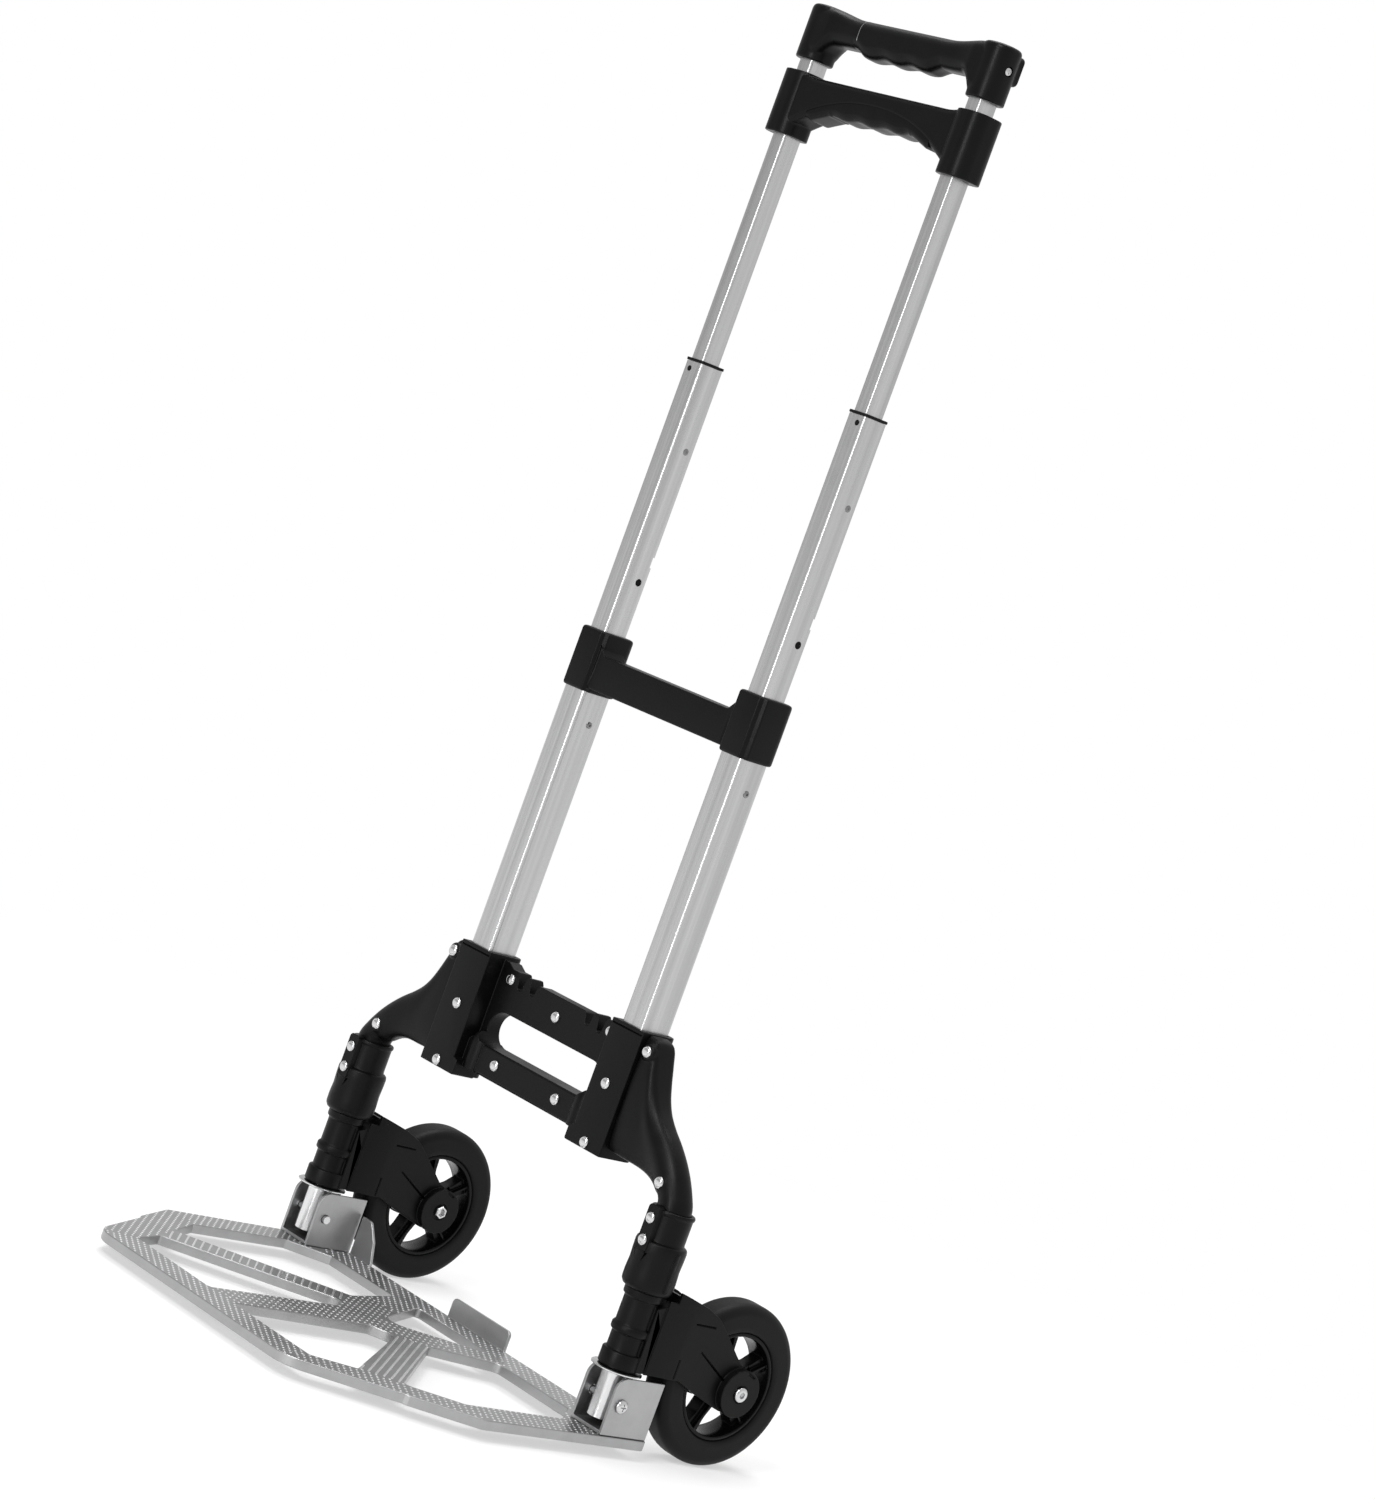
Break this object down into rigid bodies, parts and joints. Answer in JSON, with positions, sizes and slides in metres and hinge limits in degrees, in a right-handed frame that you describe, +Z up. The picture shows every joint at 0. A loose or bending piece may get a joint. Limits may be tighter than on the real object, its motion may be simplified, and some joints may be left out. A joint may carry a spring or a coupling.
{
  "type": "folding luggage cart",
  "caption": "Folding luggage cart with a telescopic twin-post handle, a squeeze-release grip, a flat toe plate that folds up and wheels that swing in with it.",
  "frame": {"origin": "on the floor, at the centre of the unfolded cart's footprint", "axes": "+X to the right seen from behind the handle, -Y towards the front of the toe plate, +Y towards the wheels, +Z up along the handle posts"},
  "size_m": [0.4058, 0.3886, 0.9915],
  "materials": {
    "frame_plastic": "fine-textured satin black",
    "grip": "smooth semi-gloss black",
    "tube": "satin anodised",
    "leg": "polished satin",
    "plate": "silver satin with raised tread",
    "steel": "bright plated",
    "rim": "gloss black",
    "tyre": "matte black",
    "guide": "matte black"
  },
  "bodies": {
    "frame": {"crossbar": "frame_plastic", "bridge": "frame_plastic", "arm_left": "frame_plastic", "arm_right": "frame_plastic", "arm_rivet_upper_left": "steel", "arm_rivet_upper_right": "steel", "arm_rivet_lower_left": "steel", "arm_rivet_lower_right": "steel", "frame_rivet_upper_left": "steel", "frame_rivet_upper_right": "steel", "frame_rivet_lower_left": "steel", "frame_rivet_lower_right": "steel", "bar_rivet_lower_left": "steel", "bar_rivet_lower_right": "steel", "outer_tube_left": "tube", "outer_tube_right": "tube", "leg_tube_left": "leg", "leg_tube_right": "leg", "leg_washer_left": "steel", "leg_washer_right": "steel", "arm_clamp_left": "frame_plastic", "arm_clamp_right": "frame_plastic", "clamp_rivet_upper_left": "steel", "clamp_rivet_upper_right": "steel", "clamp_rivet_lower_left": "steel", "clamp_rivet_lower_right": "steel", "hinge_bolt_left": "steel", "hinge_bolt_right": "steel"},
    "middle_stage": {"middle_tube_left": "tube", "middle_tube_right": "tube", "tube_cap_left": "guide", "tube_cap_right": "guide", "middle_guide_left": "guide", "middle_guide_right": "guide"},
    "handle": {"top_grip": "grip", "inner_tube_left": "tube", "inner_tube_right": "tube", "inner_guide_left": "guide", "inner_guide_right": "guide", "grip_screw_left": "steel", "grip_screw_right": "steel"},
    "release": {"release_grip": "grip", "finger_insert": "grip"},
    "toe_plate": {"toe_plate": "plate", "hinge_bracket_left": "plate", "hinge_bracket_right": "plate", "fold_cam_left": "guide", "fold_cam_right": "guide"},
    "fork_left": {"fork_left": "frame_plastic", "axle_bolt_left": "steel", "axle_nut_left": "steel", "wheel_bushing_left": "guide"},
    "wheel_left": {"rim_left": "rim", "tyre_left": "tyre"},
    "fork_right": {"fork_right": "frame_plastic", "axle_bolt_right": "steel", "axle_nut_right": "steel", "wheel_bushing_right": "guide"},
    "wheel_right": {"rim_right": "rim", "tyre_right": "tyre"}
  },
  "joints": [
    {"name": "middle_slide", "type": "slide", "parent": "frame", "child": "middle_stage", "axis": [0, 0, 1], "range_m": [-0.191, 0]},
    {"name": "handle_slide", "type": "slide", "parent": "middle_stage", "child": "handle", "axis": [0, 0, 1], "range_m": [-0.167, 0]},
    {"name": "release_squeeze", "type": "slide", "parent": "handle", "child": "release", "axis": [0, 0, 1], "range_m": [0, 0.008], "stiffness_N_per_m": 400},
    {"name": "toe_plate_fold", "type": "hinge", "parent": "frame", "child": "toe_plate", "pos_m": [0, 0.03575, 0.037], "axis": [-1, 0, 0], "range_deg": [0, 90]},
    {"name": "fork_left_swing", "type": "hinge", "parent": "frame", "child": "fork_left", "pos_m": [-0.177, 0.03575, 0.09], "axis": [0, 0, -1], "range_deg": [0, 90]},
    {"name": "fork_right_swing", "type": "hinge", "parent": "frame", "child": "fork_right", "pos_m": [0.177, 0.03575, 0.09], "axis": [0, 0, 1], "range_deg": [0, 90]},
    {"name": "wheel_left_spin", "type": "hinge", "parent": "fork_left", "child": "wheel_left", "pos_m": [-0.177, 0.13425, 0.06], "axis": [1, 0, 0], "continuous": true},
    {"name": "wheel_right_spin", "type": "hinge", "parent": "fork_right", "child": "wheel_right", "pos_m": [0.177, 0.13425, 0.06], "axis": [1, 0, 0], "continuous": true}
  ],
  "couplings": [
    {"joint": "fork_left_swing", "follows": "toe_plate_fold", "ratio": 1},
    {"joint": "fork_right_swing", "follows": "toe_plate_fold", "ratio": 1}
  ]
}
